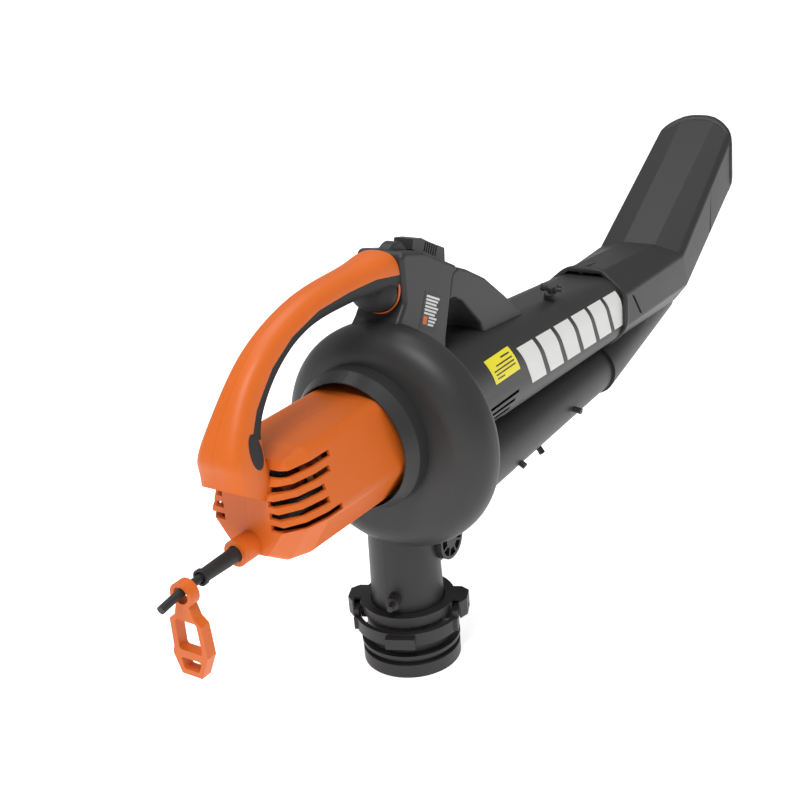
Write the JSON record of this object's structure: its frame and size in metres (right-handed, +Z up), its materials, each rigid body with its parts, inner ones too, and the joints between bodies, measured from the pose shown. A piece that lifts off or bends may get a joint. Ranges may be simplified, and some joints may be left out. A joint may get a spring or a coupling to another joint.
{
  "type": "leaf blower",
  "caption": "Corded electric leaf blower and vacuum: motor housing with loop handle, fan housing with bag outlet neck, twin tubes and an angled nozzle.",
  "frame": {"origin": "centre of the main handle's grip, in the plane of the casing seam", "axes": "+X forward along the fan shaft towards the nozzle, +Y to the user's left, +Z up"},
  "size_m": [1.0094, 0.2, 0.3803],
  "materials": {
    "orange_plastic": "satin moulded",
    "charcoal_plastic": "fine spark texture",
    "soft_grip": "matt soft-touch",
    "inner_plastic": "matt",
    "steel": "ground",
    "copper": "lacquered wire",
    "carbon": "matt carbon",
    "cast_aluminium": "as cast",
    "cord_rubber": "matt jacket"
  },
  "bodies": {
    "main_body": {"blow_tube": "charcoal_plastic", "brush_holder_bottom": "inner_plastic", "brush_holder_top": "inner_plastic", "brush_spring_bottom": "steel", "brush_spring_top": "steel", "bulkhead_screws": "steel", "collar_seal": "cord_rubber", "control_tower_left": "charcoal_plastic", "control_tower_right": "charcoal_plastic", "cord_clamp": "inner_plastic", "cord_clamp_screws": "steel", "cord_lead_in": "cord_rubber", "cord_sleeve": "cord_rubber", "fan_housing_left": "charcoal_plastic", "fan_housing_right": "charcoal_plastic", "field_coil_bottom": "copper", "field_coil_top": "copper", "front_bearing": "steel", "front_handle": "charcoal_plastic", "grip_insert": "soft_grip", "handle_screws": "steel", "handle_shell_left": "orange_plastic", "handle_shell_right": "orange_plastic", "handle_wiring": "cord_rubber", "latch_pins": "steel", "latch_spring": "steel", "motor_bulkhead": "inner_plastic", "motor_housing_left": "orange_plastic", "motor_housing_right": "orange_plastic", "neck_bag_hook": "charcoal_plastic", "nozzle": "charcoal_plastic", "outlet_collar": "charcoal_plastic", "power_cord": "cord_rubber", "power_switch": "inner_plastic", "rear_bearing": "steel", "rear_bearing_bracket": "inner_plastic", "speed_module": "inner_plastic", "stator_core": "steel", "suction_tube": "charcoal_plastic", "tower_screws": "steel", "tube_bag_hook": "charcoal_plastic"},
    "rotor": {"motor_shaft": "steel", "commutator": "copper", "armature_windings": "copper", "armature_core": "steel", "cooling_fan": "inner_plastic", "impeller": "cast_aluminium", "impeller_washer": "steel", "impeller_nut": "steel"},
    "speed_dial": {"speed_dial": "charcoal_plastic"},
    "power_slider": {"power_slider": "charcoal_plastic"},
    "selector": {"selector_gate": "inner_plastic", "selector_shaft": "steel", "selector_knob": "charcoal_plastic"},
    "collar_latch": {"collar_latch": "charcoal_plastic"},
    "cord_retainer": {"cord_retainer": "orange_plastic"},
    "brush_top": {"carbon_brush_top": "carbon"},
    "brush_bottom": {"carbon_brush_bottom": "carbon"}
  },
  "joints": [
    {"name": "rotor_spin", "type": "hinge", "parent": "main_body", "child": "rotor", "pos_m": [0.075, 0, -0.127], "axis": [1, 0, 0], "continuous": true},
    {"name": "speed_dial_turn", "type": "hinge", "parent": "main_body", "child": "speed_dial", "pos_m": [0.134, 0, 0.0065], "axis": [0, 1, 0], "range_deg": [0, 150]},
    {"name": "power_slider_slide", "type": "slide", "parent": "main_body", "child": "power_slider", "axis": [0.887, 0, -0.4617], "range_m": [0, 0.007]},
    {"name": "selector_turn", "type": "hinge", "parent": "main_body", "child": "selector", "pos_m": [0.137, 0, -0.246], "axis": [0, 1, 0], "range_deg": [0, 90]},
    {"name": "collar_latch_swing", "type": "hinge", "parent": "main_body", "child": "collar_latch", "pos_m": [0.1152, 0, -0.3085], "axis": [-0.4067, 0.9135, 0], "range_deg": [0, 12], "stiffness_Nm_per_rad": 0.15, "springref_deg": -34.38},
    {"name": "cord_retainer_swing", "type": "hinge", "parent": "main_body", "child": "cord_retainer", "pos_m": [-0.151, 0, -0.1523], "axis": [1, 0, 0], "range_deg": [-65, 65]},
    {"name": "brush_top_slide", "type": "slide", "parent": "main_body", "child": "brush_top", "axis": [0, 0, 1], "range_m": [0, 0.003], "stiffness_N_per_m": 150, "springref_m": -0.012, "deforming": ["brush_spring_top"]},
    {"name": "brush_bottom_slide", "type": "slide", "parent": "main_body", "child": "brush_bottom", "axis": [0, 0, -1], "range_m": [0, 0.003], "stiffness_N_per_m": 150, "springref_m": -0.012, "deforming": ["brush_spring_bottom"]}
  ]
}
